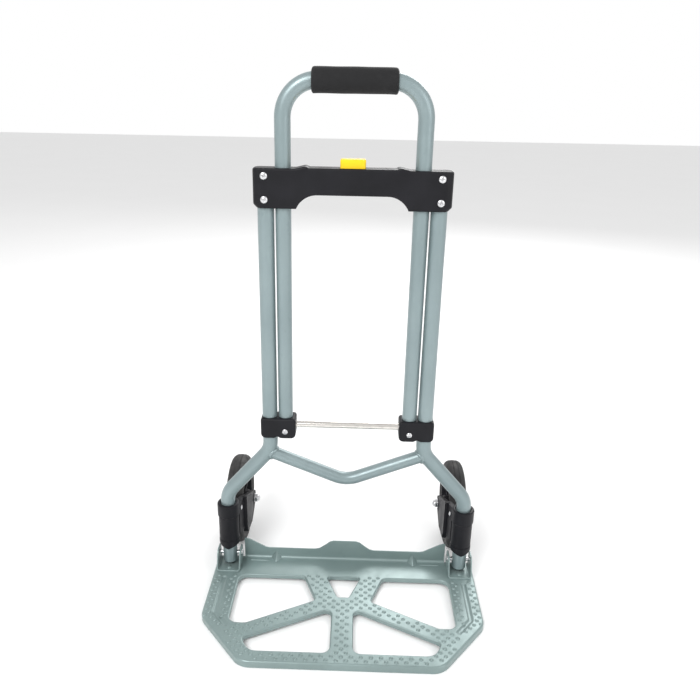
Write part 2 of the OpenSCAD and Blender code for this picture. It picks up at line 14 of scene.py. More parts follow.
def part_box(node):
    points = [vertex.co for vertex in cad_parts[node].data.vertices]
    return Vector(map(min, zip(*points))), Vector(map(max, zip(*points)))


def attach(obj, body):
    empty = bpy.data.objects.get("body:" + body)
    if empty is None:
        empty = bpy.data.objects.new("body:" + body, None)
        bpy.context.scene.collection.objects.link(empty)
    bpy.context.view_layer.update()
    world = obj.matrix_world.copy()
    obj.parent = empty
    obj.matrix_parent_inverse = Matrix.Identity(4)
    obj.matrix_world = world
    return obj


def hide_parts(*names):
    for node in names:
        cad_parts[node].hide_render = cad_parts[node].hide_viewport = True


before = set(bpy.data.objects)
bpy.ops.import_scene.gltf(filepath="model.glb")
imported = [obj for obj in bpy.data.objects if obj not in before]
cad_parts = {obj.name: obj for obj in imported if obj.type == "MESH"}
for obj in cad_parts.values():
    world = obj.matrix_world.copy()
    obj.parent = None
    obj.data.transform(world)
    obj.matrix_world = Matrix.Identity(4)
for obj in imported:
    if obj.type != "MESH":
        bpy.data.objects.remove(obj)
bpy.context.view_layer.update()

MM = 0.001
LEFT, RIGHT = -1, 1
SIDES = {"left": LEFT, "right": RIGHT}


def low(node, axis):
    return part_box(node)[0][axis] / MM


def high(node, axis):
    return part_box(node)[1][axis] / MM


def middle(node, axis):
    return (low(node, axis) + high(node, axis)) / 2


# ---- places and sizes, in millimetres, read from the frame ----

LEG_Y = middle("tie_rod", 1)
LEG_X = middle("hinge_bracket_right", 0)
TUBE_R = (high("frame_tube_right", 1) - low("frame_tube_right", 1)) / 2
TUBE_WALL = 1.5
UPRIGHT_X = low("frame_tube_right", 0) + TUBE_R
TUBE_TOP_Z = high("frame_tube_right", 2)
LEG_END_Z = low("frame_tube_right", 2)
BEND_R = 36
UPPER_BEND_Z, LOWER_BEND_Z = 219, 141
BRACE_R = 9.5
BRACE_MID_Z, BRACE_END_Z, BRACE_BEND_R = 168.5, 214.5, 45
HANDLE_TUBE_R = (high("handle_tube", 1) - low("handle_tube", 1)) / 2
HANDLE_X = high("handle_tube", 0) - HANDLE_TUBE_R
HANDLE_TOP_Z = high("handle_tube", 2) - HANDLE_TUBE_R
HANDLE_END_Z = low("handle_tube", 2)
HANDLE_R = 45
GRIP_HALF = high("foam_grip", 0)
GRIP_R = (high("foam_grip", 1) - low("foam_grip", 1)) / 2
BAR_X = high("crossbar_front", 0)
BAR_Z0, MID_Z = low("crossbar_front", 2), high("crossbar_front", 2)
BAR_Z1, ARCH_Z = BAR_Z0 + 51, BAR_Z0 + 18
BAR_HALF_T = high("crossbar_back", 1) - LEG_Y
PLATE_X = high("toe_plate", 0)
PLATE_FRONT = low("toe_plate", 1) - LEG_Y
PLATE_Z, PLATE_T, HOLE_LIP = 11, 2, 5
WALL_Y = (16, 18)
HINGE_Z = middle("hinge_pin_right", 2)
CHEEK_OUT = high("hinge_bracket_right", 0) - LEG_X
CHEEK_T = 2
WHEEL_R = middle("tyre_right", 2)
WHEEL_X = middle("tyre_right", 0)
WHEEL_HALF = (high("tyre_right", 0) - low("tyre_right", 0)) / 2
AXLE_Y = middle("tyre_right", 1) - LEG_Y


# ---- outlines ----

def way(p, q):
    v = (q[0] - p[0], q[1] - p[1])
    size = math.hypot(*v)
    return (v[0] / size, v[1] / size)


def inset(points, d):
    """Corner points of a counter-clockwise outline moved inwards by d."""
    made = []
    for i, p in enumerate(points):
        u = way(points[i - 1], p)
        v = way(p, points[(i + 1) % len(points)])
        scale = d / (1 + u[0] * v[0] + u[1] * v[1])
        made.append((p[0] - (u[1] + v[1]) * scale, p[1] + (u[0] + v[0]) * scale))
    return made


def corner(a, b, c, r, steps):
    """Points of one rounded corner at b, between its neighbours a and c."""
    if r < 0.01:
        return [b]
    u, v = way(a, b), way(b, c)
    turn = math.atan2(u[0] * v[1] - u[1] * v[0], u[0] * v[0] + u[1] * v[1])
    reach = r * math.tan(abs(turn) / 2)
    side = math.copysign(1, turn)
    start = (b[0] - u[0] * reach, b[1] - u[1] * reach)
    hub = (start[0] - u[1] * r * side, start[1] + u[0] * r * side)
    arm = (start[0] - hub[0], start[1] - hub[1])
    made = []
    for k in range(steps + 1):
        w = turn * k / steps
        made.append((hub[0] + arm[0] * math.cos(w) - arm[1] * math.sin(w),
                     hub[1] + arm[0] * math.sin(w) + arm[1] * math.cos(w)))
    return made


def rounded(points, radii, steps=8):
    made = []
    for i, p in enumerate(points):
        made += corner(points[i - 1], p, points[(i + 1) % len(points)], radii[i], steps)
    return made


def moved(points, radii, d, steps=8):
    """A rounded outline moved inwards by d, or outwards when d is negative."""
    return rounded(inset(points, d), [max(0.02, r - d) if r else 0 for r in radii], steps)


def mirrored(points):
    return [(-x, y) for x, y in reversed(points)]


# ---- mesh building ----

class Shape:
    """Vertices and faces gathered from simple forms, in millimetres."""

    def __init__(self):
        self.verts, self.faces = [], []

    def add(self, verts, faces):
        n = len(self.verts)
        self.verts += [Vector(v) for v in verts]
        self.faces += [[i + n for i in f] for f in faces]
        return self

    def loft(self, rings, caps=(True, True), loop=False):
        """Skin over rings with the same number of points."""
        n, count = len(rings[0]), len(rings)
        faces = [[j * n + k, j * n + (k + 1) % n, (j + 1) % count * n + (k + 1) % n,
                  (j + 1) % count * n + k]
                 for j in range(count if loop else count - 1) for k in range(n)]
        if not loop:
            faces += [list(range(n - 1, -1, -1))] if caps[0] else []
            faces += [list(range((count - 1) * n, count * n))] if caps[1] else []
        return self.add([p for ring in rings for p in ring], faces)

    def tube(self, stations, r, sides=40, caps=(True, True)):
        """Round bar through stations (x, z, tilt) in the XZ plane; r may be a function."""
        rings = []
        for i, (x, z, tilt) in enumerate(stations):
            size = r(i) if callable(r) else r
            rings.append([(x + size * math.cos(a) * math.cos(tilt), size * math.sin(a),
                           z + size * math.cos(a) * math.sin(tilt))
                          for a in (2 * math.pi * k / sides for k in range(sides))])
        return self.loft(rings, caps)

    def lathe(self, origin, axis, profile, sides=48, bend=None):
        """Turned shape: profile is a list of (place along the axis, radius)."""
        axis = Vector(axis).normalized()
        u = axis.orthogonal().normalized() if abs(axis.x) < 0.9 else Vector((0, 0, 1))
        v = axis.cross(u)
        rings = []
        for place, r in profile:
            ring = []
            for k in range(sides):
                a = 2 * math.pi * k / sides
                side = u * math.cos(a) + v * math.sin(a)
                shift = bend(place, r, side) if bend else 0
                ring.append(Vector(origin) + axis * (place + shift) + side * max(r, 1e-3))
            rings.append(ring)
        return self.loft(rings)

    def pillow(self, outline, lo, hi, edge, put, steps=4, lower=None):
        """Extruded outline(inset) with rounded edges; put(point, depth) places a point."""
        lower = edge if lower is None else lower
        levels = []
        for k in range(steps + 1):
            t = math.pi / 2 * k / steps
            levels.append((lower * (1 - math.sin(t)), lo + lower * (1 - math.cos(t))))
        for k in range(steps, -1, -1):
            t = math.pi / 2 * k / steps
            levels.append((edge * (1 - math.sin(t)), hi - edge * (1 - math.cos(t))))
        return self.loft([[put(p, depth) for p in outline(d)] for d, depth in levels])

    def turned(self, matrix):
        self.verts = [matrix @ v for v in self.verts]
        return self

    def join(self, other, matrix=None):
        verts = other.verts if matrix is None else [matrix @ v for v in other.verts]
        return self.add(verts, other.faces)


def mesh_of(name, shape, side=RIGHT):
    mesh = bpy.data.meshes.new(name)
    verts = [((side * v.x) * MM, (v.y + LEG_Y) * MM, v.z * MM) for v in shape.verts]
    mesh.from_pydata(verts, [], shape.faces)
    bm = bmesh.new()
    bm.from_mesh(mesh)
    bmesh.ops.remove_doubles(bm, verts=bm.verts, dist=2e-6)
    bmesh.ops.recalc_face_normals(bm, faces=bm.faces)
    bm.to_mesh(mesh)
    bm.free()
    return mesh


def cut(mesh, name, shape, operation="DIFFERENCE", side=RIGHT):
    """The mesh with another shape taken away from it, or kept only inside that shape."""
    body = bpy.data.objects.new(name + "_blank", mesh)
    tool = bpy.data.objects.new(name + "_tool", mesh_of(name + "_tool", shape, side))
    for o in (body, tool):
        bpy.context.scene.collection.objects.link(o)
    step = body.modifiers.new("cut", "BOOLEAN")
    step.operation, step.object, step.solver = operation, tool, "EXACT"
    graph = bpy.context.evaluated_depsgraph_get()
    made = bpy.data.meshes.new_from_object(body.evaluated_get(graph))
    for o in (body, tool):
        bpy.data.objects.remove(o)
    made.name = name
    return made


def show(name, mesh, body, look, stands_for=(), bevel=0, angle=35, subdivide=0):
    """Makes a piece of the truck from a mesh, rides it and hides the CAD parts it replaces."""
    piece = bpy.data.objects.new(name, mesh)
    bpy.context.scene.collection.objects.link(piece)
    mesh.materials.clear()
    mesh.materials.append(look)
    mesh.shade_smooth()
    mesh.set_sharp_from_angle(angle=math.radians(angle))
    if bevel:
        edge = piece.modifiers.new("edge", "BEVEL")
        edge.width, edge.segments, edge.limit_method = bevel * MM, 3, "ANGLE"
        edge.angle_limit = math.radians(angle)
        edge.harden_normals = False
    if subdivide:
        fine = piece.modifiers.new("fine", "SUBSURF")
        fine.levels = fine.render_levels = subdivide
    flat = piece.modifiers.new("flat", "WEIGHTED_NORMAL")
    flat.keep_sharp = True
    flat.weight = 80
    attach(piece, body)
    if stands_for:
        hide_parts(*stands_for)
    return piece


# ---- materials ----

class Look:
    """A node-based material under construction."""

    def __init__(self, name):
        self.material = bpy.data.materials.new(name)
        self.material.use_nodes = True
        self.tree = self.material.node_tree
        self.shader = self.tree.nodes["Principled BSDF"]
        self.coords = self.tree.nodes.new("ShaderNodeTexCoord").outputs["Object"]

    def node(self, kind, links=(), **values):
        made = self.tree.nodes.new(kind)
        for key, value in values.items():
            if key in made.inputs:
                made.inputs[key].default_value = value
            else:
                setattr(made, key, value)
        for socket, source in dict(links).items():
            self.tree.links.new(source, made.inputs[socket])
        return made

    def stretched(self, scale):
        return self.node("ShaderNodeMapping", {"Vector": self.coords}, Scale=scale).outputs[0]

    def noise(self, scale, detail=3.0, rough=0.5, vector=None):
        made = self.node("ShaderNodeTexNoise", {"Vector": vector or self.coords}, Scale=scale,
                         Detail=detail, Roughness=rough)
        return made.outputs["Fac"]

    def cells(self, scale, vector=None):
        made = self.node("ShaderNodeTexVoronoi", {"Vector": vector or self.coords}, Scale=scale)
        return made.outputs["Distance"]

    def ramp(self, source, low_place, low_value, high_place, high_value):
        made = self.node("ShaderNodeMapRange", {"Value": source})
        for socket, value in zip((1, 2, 3, 4), (low_place, high_place, low_value, high_value)):
            made.inputs[socket].default_value = value
        return made.outputs[0]

    def mix(self, factor, a, b):
        made = self.node("ShaderNodeMix", data_type="RGBA")
        self.tree.links.new(factor, made.inputs[0])
        for socket, colour in ((6, a), (7, b)):
            if isinstance(colour, tuple):
                made.inputs[socket].default_value = (*colour, 1)
            else:
                self.tree.links.new(colour, made.inputs[socket])
        return made.outputs[2]

    def bump(self, height, strength, distance_mm, under=None):
        made = self.node("ShaderNodeBump", {"Height": height}, Strength=strength,
                         Distance=distance_mm * MM)
        if under is not None:
            self.tree.links.new(under, made.inputs["Normal"])
        return made.outputs[0]

    def finish(self, colour=None, roughness=None, normal=None, **fixed):
        for key, value in fixed.items():
            self.shader.inputs[key.replace("_", " ")].default_value = value
        for socket, source in (("Base Color", colour), ("Roughness", roughness), ("Normal", normal)):
            if source is not None:
                self.tree.links.new(source, self.shader.inputs[socket])
        return self.material


def paint_look(name, light, dark, grain=1.0):
    """Satin powder paint: faint mottling, orange peel, fine dust and a few rubbed spots."""
    look = Look(name)
    broad = look.ramp(look.noise(9, 4), 0.35, 0, 0.65, 1)
    speck = look.ramp(look.noise(1400, 2), 0.62, 0, 0.78, 1)
    rubbed = look.ramp(look.noise(46, 6, 0.62), 0.64, 0, 0.72, 1)
    base = look.mix(broad, dark, light)
    flecked = look.mix(look.ramp(speck, 0, 0, 1, 0.35), base, tuple(c * 1.35 for c in light))
    worn = look.mix(look.ramp(rubbed, 0, 0, 1, 0.22), flecked, tuple(c * 0.72 for c in dark))
    peel = look.bump(look.noise(520, 2), 0.20 * grain, 0.10)
    fine = look.bump(look.noise(2600, 2), 0.12 * grain, 0.03, peel)
    rough = look.ramp(look.noise(60, 5), 0.3, 0.30, 0.7, 0.42)
    return look.finish(worn, rough, fine, Metallic=0.35, Coat_Weight=0.12, Coat_Roughness=0.25)


def plastic_look(name, light, dark, rough=(0.42, 0.58), grain=0.35, scale=1500, shine=0.4):
    """Moulded plastic: eroded grain, slight sheen changes and pale scuffs."""
    look = Look(name)
    broad = look.ramp(look.noise(24, 4), 0.35, 0, 0.7, 1)
    scuff = look.ramp(look.noise(1, 7, 0.66, look.stretched((70, 160, 90))), 0.66, 0, 0.74, 1)
    base = look.mix(broad, dark, light)
    scuffed = look.mix(look.ramp(scuff, 0, 0, 1, 0.30), base, tuple(min(1, c * 3 + 0.01) for c in light))
    grained = look.bump(look.noise(scale, 3, 0.6), grain, 0.05)
    waves = look.bump(look.noise(70, 2), 0.06, 0.3, grained)
    return look.finish(scuffed, look.ramp(look.noise(38, 5), 0.3, rough[0], 0.7, rough[1]), waves,
                       Specular_IOR_Level=shine)


def foam_look():
    """Closed-cell foam: open pores where the skin is cut, darkened with painted shade, soft dull sheen."""
    look = Look("foam")
    pores = look.cells(1500)
    # the pores are painted darker than the skin around them: painted shade in the pore dents
    base = look.mix(look.ramp(pores, 0.0, 0, 0.5, 1), (0.004, 0.004, 0.004), (0.016, 0.016, 0.017))
    dusty = look.mix(look.ramp(look.noise(60, 6), 0.55, 0, 0.8, 0.3), base, (0.035, 0.034, 0.034))
    lumps = look.bump(look.noise(90, 4), 0.25, 0.5)
    skin = look.bump(pores, 0.5, 0.12, lumps)
    return look.finish(dusty, look.ramp(look.noise(40, 3), 0.3, 0.72, 0.7, 0.9), skin,
                       Specular_IOR_Level=0.2, Sheen_Weight=0.06, Sheen_Roughness=0.5)


def metal_look(name, light, dark, rough, streaks, grain=0.1):
    """Plated or bare metal with fine working marks along one way and dull patches."""
    look = Look(name)
    lines = look.noise(1, 4, 0.6, look.stretched(streaks))
    patch = look.noise(130, 5)
    base = look.mix(look.ramp(patch, 0.4, 0, 0.7, 1), light, dark)
    marks = look.bump(lines, grain, 0.03)
    return look.finish(base, look.ramp(patch, 0.3, rough[0], 0.7, rough[1]), marks, Metallic=1.0)


def rubber_look():
    """Tyre rubber: matt black, dust rubbed into the running surface."""
    look = Look("tyre_rubber")
    dust = look.ramp(look.noise(55, 7, 0.6), 0.48, 0, 0.72, 0.55)
    base = look.mix(look.noise(12, 3), (0.011, 0.011, 0.012), (0.021, 0.020, 0.020))
    dusty = look.mix(dust, base, (0.055, 0.050, 0.045))
    grain = look.bump(look.noise(900, 4), 0.35, 0.08)
    return look.finish(dusty, look.ramp(look.noise(80, 4), 0.3, 0.55, 0.7, 0.82), grain)


TUBE_PAINT = paint_look("tube_paint", (0.25, 0.315, 0.325), (0.215, 0.275, 0.285))
PLATE_PAINT = paint_look("plate_paint", (0.24, 0.315, 0.31), (0.20, 0.265, 0.26), 1.6)
BLACK = plastic_look("black_nylon", (0.008, 0.008, 0.011), (0.004, 0.004, 0.006), shine=0.25)
YELLOW = plastic_look("yellow_button", (0.93, 0.66, 0.012), (0.86, 0.56, 0.008), (0.28, 0.42), 0.15, 900)
BUSH = plastic_look("bush_plastic", (0.55, 0.54, 0.50), (0.42, 0.42, 0.39))
FOAM = foam_look()
ZINC = metal_look("bright_zinc", (0.70, 0.70, 0.71), (0.52, 0.52, 0.54), (0.18, 0.36), (900, 900, 300))
STEEL = metal_look("spring_steel", (0.50, 0.50, 0.52), (0.34, 0.34, 0.36), (0.28, 0.45), (400, 900, 900))
ROD = metal_look("polished_rod", (0.80, 0.77, 0.73), (0.66, 0.63, 0.60), (0.12, 0.26), (2500, 60, 60), 0.2)
RUBBER = rubber_look()


# ---- tubes ----

LEG_TURN = math.atan2(LEG_X - UPRIGHT_X, UPPER_BEND_Z - LOWER_BEND_Z)
BEND_REACH = BEND_R * math.tan(LEG_TURN / 2)
UPRIGHT_END_Z = UPPER_BEND_Z + BEND_REACH
LEG_TOP_Z = LOWER_BEND_Z - BEND_REACH
BEND_STEPS = 14


def frame_stations():
    turns = [LEG_TURN * k / BEND_STEPS for k in range(BEND_STEPS + 1)]
    upper = [(UPRIGHT_X + BEND_R * (1 - math.cos(w)), UPRIGHT_END_Z - BEND_R * math.sin(w), w)
             for w in turns]
    lower = [(LEG_X - BEND_R * (1 - math.cos(w)), LEG_TOP_Z + BEND_R * math.sin(w), w)
             for w in reversed(turns)]
    return [(UPRIGHT_X, TUBE_TOP_Z, 0), *upper, *lower, (LEG_X, LEG_END_Z, 0)]


def hollow(stations, r, sides=48):
    """Tube with a wall: the skin runs down outside and back up inside."""
    out, back = Shape().tube(stations, r, sides).verts, Shape().tube(stations, r - TUBE_WALL, sides).verts
    rings = [out[k:k + sides] for k in range(0, len(out), sides)]
    rings += [back[k:k + sides] for k in range(len(back) - sides, -1, -sides)]
    return Shape().loft(rings, loop=True)


def brace_stations():
    fall = math.atan2(BRACE_END_Z - BRACE_MID_Z, UPRIGHT_X)
    made = [(-UPRIGHT_X, BRACE_END_Z, math.pi / 2 - fall)]
    for k in range(-BEND_STEPS, BEND_STEPS + 1):
        w = fall * k / BEND_STEPS
        made.append((BRACE_BEND_R * math.sin(w),
                     BRACE_MID_Z + BRACE_BEND_R * (1 / math.cos(fall) - math.cos(w)),
                     math.pi / 2 + w))
    return made + [(UPRIGHT_X, BRACE_END_Z, math.pi / 2 + fall)]


def distance_to_frame(p):
    """How far a point lies from the frame tube's centreline."""
    best = 1e9
    line = [Vector((x, 0, z)) for x, z, tilt in frame_stations()]
    for a, b in zip(line, line[1:]):
        t = max(0, min(1, (p - a).dot(b - a) / (b - a).length_squared))
        best = min(best, (p - a - (b - a) * t).length)
    return best


def weld_bead(side_count=56, bead_r=2.3):
    """Rippled bead where the brace meets the frame tube."""
    fall = math.atan2(BRACE_END_Z - BRACE_MID_Z, UPRIGHT_X)
    along = Vector((math.cos(fall), 0, math.sin(fall)))
    up, out = Vector((-math.sin(fall), 0, math.cos(fall))), Vector((0, 1, 0))
    end = Vector((UPRIGHT_X, 0, BRACE_END_Z))
    dice = random.Random(7)
    rings = []
    for k in range(side_count):
        a = 2 * math.pi * k / side_count
        ray = up * math.cos(a) + out * math.sin(a)
        back = 30.0
        while back > 0 and distance_to_frame(end - along * back + ray * BRACE_R) > TUBE_R:
            back -= 0.25
        centre = end - along * back + ray * BRACE_R
        size = bead_r * (1 + 0.14 * math.sin(k * math.pi) + 0.16 * (k % 2) + dice.uniform(-0.05, 0.05))
        rings.append([centre + (ray * math.cos(b) * 0.8 - along * math.sin(b) * 1.15) * size
                      for b in (2 * math.pi * j / 12 for j in range(12))])
    return Shape().loft(rings, loop=True)


for side_name, side in SIDES.items():
    show(f"frame_tube_skin_{side_name}", mesh_of("tube", hollow(frame_stations(), TUBE_R), side), "frame",
         TUBE_PAINT, [f"frame_tube_{side_name}"], angle=50)
show("cross_brace_skin", mesh_of("brace", Shape().tube(brace_stations(), BRACE_R)), "frame",
     TUBE_PAINT, ["cross_brace"], angle=50)
welds = Shape().join(weld_bead()).join(weld_bead(), Matrix.Scale(-1, 4, (1, 0, 0)))
show("brace_weld_beads", mesh_of("welds", welds), "frame", TUBE_PAINT,
     ["brace_welds"], angle=80)


def handle_stations():
    made = [(HANDLE_X, HANDLE_END_Z, 0)]
    turns = [math.pi / 2 * k / 20 for k in range(21)]
    hub_z = HANDLE_TOP_Z - HANDLE_R
    made += [(HANDLE_X - HANDLE_R * (1 - math.cos(w)), hub_z + HANDLE_R * math.sin(w), w) for w in turns]
    return made + [(-x, z, math.pi - w) for x, z, w in reversed(made)]


show("handle_tube_skin", mesh_of("handle", hollow(handle_stations(), HANDLE_TUBE_R)), "handle",
     TUBE_PAINT, ["handle_tube"], angle=50)


def grip_shape():
    """Foam sleeve: slightly crowned, with soft ends and faint waves along it."""
    dice = random.Random(3)
    waves = [(dice.uniform(0.12, 0.5), dice.uniform(0, 6.28), dice.choice((1, 2, 3))) for _ in range(5)]
    steps, sides = 90, 72
    rings = []
    for j in range(steps + 1):
        x = -GRIP_HALF + 2 * GRIP_HALF * j / steps
        from_end = GRIP_HALF - abs(x)
        soft = math.sqrt(max(0, 1 - max(0, 1 - from_end / 3.4) ** 2))
        drop = HANDLE_R - math.sqrt(HANDLE_R ** 2 - max(0, abs(x) - HANDLE_X + HANDLE_R) ** 2)
        ring = []
        for k in range(sides):
            a = 2 * math.pi * k / sides
            lump = sum(0.10 * math.sin(f * x * 0.35 + p + m * a) for f, p, m in waves)
            r = HANDLE_TUBE_R + 0.2 + (GRIP_R - HANDLE_TUBE_R - 0.5 + lump * 0.6) * (0.35 + 0.65 * soft)
            ring.append((x, r * math.cos(a), HANDLE_TOP_Z - drop * 0.8 + r * math.sin(a)))
        rings.append(ring)
    return Shape().loft(rings)


grip = show("foam_grip_sleeve", mesh_of("grip", grip_shape()), "handle", FOAM,
            ["foam_grip"], angle=60)


# ---- screws ----

def dome(r, h, steps=7):
    """Profile of a domed head, from its seat to its crown."""
    made = [(0, 0), (0, r), (h * 0.18, r)]
    return made + [(h * (0.18 + 0.82 * math.sin(t)), r * math.cos(t) * 1.0)
                   for t in (math.pi / 2 * k / steps for k in range(1, steps + 1))]


def screw_mesh(name, places, r, h, socket, along=(0, -1, 0)):
    """Domed heads with a hexagon socket, one at each place."""
    heads, sockets = Shape(), Shape()
    for place in places:
        heads.lathe(place, along, dome(r, h), 40)
        bottom = Vector(place) + Vector(along) * h * 0.35
        sockets.lathe(bottom, along, [(0, 0), (0, socket), (h, socket), (h, 0)], 6)
    return cut(mesh_of(name, heads), name, sockets)


def screws(name, places, r, h, socket, body, node, along=(0, -1, 0)):
    show(name, screw_mesh(name, places, r, h, socket, along), body, ZINC, [node] if node else (),
         bevel=0.12, angle=40)


BAR_SCREW_Z = (BAR_Z0 + 11.5, BAR_Z1 - 9.5)
BAR_SCREWS = [(s * UPRIGHT_X, -BAR_HALF_T + 0.2, z) for s in (LEFT, RIGHT) for z in BAR_SCREW_Z]
screws("crossbar_screw_heads", BAR_SCREWS, 4.9, 2.6, 1.9, "frame", "crossbar_screws")
SLIDER_FRONT = low("slider_right", 1) - LEG_Y
SLIDER_SCREW_Z = low("slider_right", 2) + 12
screws("slider_screw_heads", [(s * HANDLE_X, SLIDER_FRONT + 0.1, SLIDER_SCREW_Z) for s in (LEFT, RIGHT)],
       4.2, 2.0, 2.1, "handle", "slider_screws")


# ---- crossbar ----

ARCH_X, ARCH_R, ARCH_TURN, ARCH_END_X = 45.5, 30, math.radians(62), 73
RAMP_X = (60, 74)
END_R = 10.5
EDGE_R = 2.6


def bar_outline(ends, edge):
    """Crossbar outline, with its ends pulled in and then all edges moved in."""
    x = BAR_X - ends
    half = [(ARCH_X + ARCH_R * math.sin(ARCH_TURN * k / 12),
             ARCH_Z - ARCH_R * (1 - math.cos(ARCH_TURN * k / 12))) for k in range(13)]
    half += rounded([(ARCH_END_X, BAR_Z0), (x - 5, BAR_Z0), (x, BAR_Z0 + 5), (x, BAR_Z1),
                     (RAMP_X[1], BAR_Z1), (RAMP_X[0], MID_Z), (0, MID_Z - 40)],
                    [0, 4, 4, 3, 10, 10, 0], 5)[:-1]
    return inset(half + mirrored(half), edge)


def half_round(r, depth):
    """How far an edge of radius r has pulled in at this depth below the face."""
    return 0 if depth >= r else r - math.sqrt(r * r - (r - depth) ** 2)


def bar_half(front):
    face = -BAR_HALF_T if front else BAR_HALF_T
    rings = []
    for depth in (0, 0.12, 0.4, 0.9, 1.6, 2.6, 3.8, 5.2, 7, 9, 10.5, 12, 15.1, 15.32):
        seam = 0.25 if depth > 15.2 else 0
        outline = bar_outline(half_round(END_R, depth), half_round(EDGE_R, depth) + seam)
        y = face + depth if front else face - depth
        rings.append([(x, y, z) for x, z in outline])
    return Shape().loft(rings)


def bar_tools():
    """Bores for the four tubes."""
    tools = Shape()
    for s in (LEFT, RIGHT):
        for x, r, length in ((UPRIGHT_X, TUBE_R + 0.05, 46), (HANDLE_X, HANDLE_TUBE_R + 0.35, 80)):
            tools.lathe((s * x, 0, BAR_Z0 - 10), (0, 0, 1), [(0, 0), (0, r), (length, r), (length, 0)], 48)
    return tools


def button_outline(d):
    w, t = 16.5, 10
    return moved([(-w, -t), (w, -t), (w, t), (-w, t)], [3.2] * 4, d, 6)


def in_plan(p, depth):
    return (p[0], p[1], depth)


pocket = Shape().pillow(lambda d: button_outline(d - 0.4), BAR_Z0 + 24, MID_Z + 10, 0.01, in_plan)
for side_name, front in (("front", True), ("back", False)):
    shell = cut(mesh_of("bar_" + side_name, bar_half(front)), "bar_bored_" + side_name, bar_tools())
    shell = cut(shell, "bar_pocket_" + side_name, pocket)
    show(f"crossbar_{side_name}_cover", shell, "frame", BLACK, [f"crossbar_{side_name}"],
         angle=32)

BUTTON_TOP_Z = high("release_button", 2)
button = Shape().pillow(button_outline, BAR_Z0 + 33, BUTTON_TOP_Z, 2.2, in_plan, 6, 0.3)
show("release_button_cap", mesh_of("button", button), "release_button", YELLOW,
     ["release_button"], angle=40)


# ---- sliders and tie rod ----

def slider_outline(d):
    x0, x1 = low("slider_right", 0), high("slider_right", 0)
    z0, z1 = low("slider_right", 2), high("slider_right", 2)
    web_x = (UPRIGHT_X + HANDLE_X) / 2
    points = [(x0, z0), (web_x - 5, z0), (web_x, z0 + 2.5), (web_x + 5, z0), (x1, z0), (x1, z1), (x0, z1)]
    return moved(points, [7, 2, 2, 2, 7, 4, 4], d, 6)


def slider_shape():
    rings = []
    half_t = -SLIDER_FRONT
    for depth in (0, 0.12, 0.4, 0.9, 1.6, 2.6, 3.6, 5.5, half_t):
        rings.append([(x, -half_t + depth, z) for x, z in slider_outline(half_round(3.6, depth))])
    rings += [[(x, -y, z) for x, y, z in ring] for ring in reversed(rings[:-1])]
    return Shape().loft(rings)


def slider_tools():
    tools = Shape()
    z0 = low("slider_right", 2)
    for x, r, start in ((UPRIGHT_X, TUBE_R + 0.35, -5), (HANDLE_X, HANDLE_TUBE_R + 0.02, 3)):
        tools.lathe((x, 0, z0 + start), (0, 0, 1), [(0, 0), (0, r), (60, r), (60, 0)], 48)
    return tools


for side_name, side in SIDES.items():
    mesh = cut(mesh_of("slider", slider_shape(), side), "slider_bored", slider_tools(), side=side)
    show(f"slider_bracket_{side_name}", mesh, "handle", BLACK, [f"slider_{side_name}"],
         angle=32)

TIE_Z, TIE_R = middle("tie_rod", 2), (high("tie_rod", 2) - low("tie_rod", 2)) / 2
TIE_X = high("tie_rod", 0)
tie = Shape().lathe((0, 0, TIE_Z), (1, 0, 0), [(-TIE_X, 0), (-TIE_X, TIE_R), (-TIE_X + 2, TIE_R),
                                              (TIE_X - 2, TIE_R), (TIE_X, TIE_R), (TIE_X, 0)])
show("tie_rod_bar", mesh_of("tie", tie), "handle", ROD, ["tie_rod"])


# ---- wheel brackets ----

SLEEVE_R, SLEEVE_MID_R, SKIRT_R = 16.8, 15.6, 16
SLEEVE_Z = (46, 60, 102, 124)
SKIRT_SLOPE = 0.381
ARM_X = (-26, -18.2)
BOSS_R, BOSS_H = 13, 0.6


def skirt_bend(place, r, side):
    """Lowest ring of the skirt rises to both sides of its front and back points."""
    return SKIRT_SLOPE * abs(side.x) * r if place <= SLEEVE_Z[0] + 0.5 else 0


def sleeve_shape():
    bore = TUBE_R + 0.4
    z = SLEEVE_Z
    profile = [
        (z[0], bore), (z[0], SKIRT_R - 0.8), (z[0] + 0.4, SKIRT_R - 0.2), (z[0] + 9.5, SKIRT_R),
        (z[1] - 1.2, SKIRT_R), (z[1] - 0.4, SKIRT_R - 0.3), (z[1] - 0.2, SLEEVE_MID_R - 0.5),
        (z[1] + 0.3, SLEEVE_MID_R - 0.5),
        (z[1] + 0.8, SLEEVE_MID_R), (z[2] - 1.5, SLEEVE_MID_R), (z[2] - 0.9, SLEEVE_MID_R - 0.5),
        (z[2] - 0.2, SLEEVE_MID_R - 0.5), (z[2], SLEEVE_R - 0.8), (z[2] + 0.7, SLEEVE_R - 0.1),
        (z[2] + 1.6, SLEEVE_R), (z[3] - 2.2, SLEEVE_R), (z[3] - 0.8, SLEEVE_R - 0.5),
        (z[3] - 0.1, SLEEVE_R - 1.6), (z[3], SLEEVE_R - 2.4), (z[3], bore + 1.2), (z[3] - 1, bore)]
    rings = []
    for place, r in profile:
        ring = []
        for k in range(72):
            a = 2 * math.pi * k / 72
            side = Vector((math.cos(a), math.sin(a), 0))
            ring.append((r * side.x, r * side.y, place + skirt_bend(place, r, side)))
        rings.append(ring)
    return Shape().loft(rings, loop=True)


ARM_POINTS = [(2, 63), (20.5, 63), (24, 52), (60, 46), (AXLE_Y - 4, WHEEL_R - 17),
              (AXLE_Y + 13, WHEEL_R - 6), (AXLE_Y + 13, WHEEL_R + 8), (AXLE_Y - 6, WHEEL_R + 17),
              (58, 104), (22, 122), (2, 122)]
ARM_RADII = [1, 1, 3, 12, 12, 12, 12, 12, 20, 5, 1]


def arm_outline(first_y, last_y=200):
    def outline(d):
        points = moved(ARM_POINTS, ARM_RADII, d, 6)
        return [(max(first_y, min(last_y, y)), z) for y, z in points]
    return outline


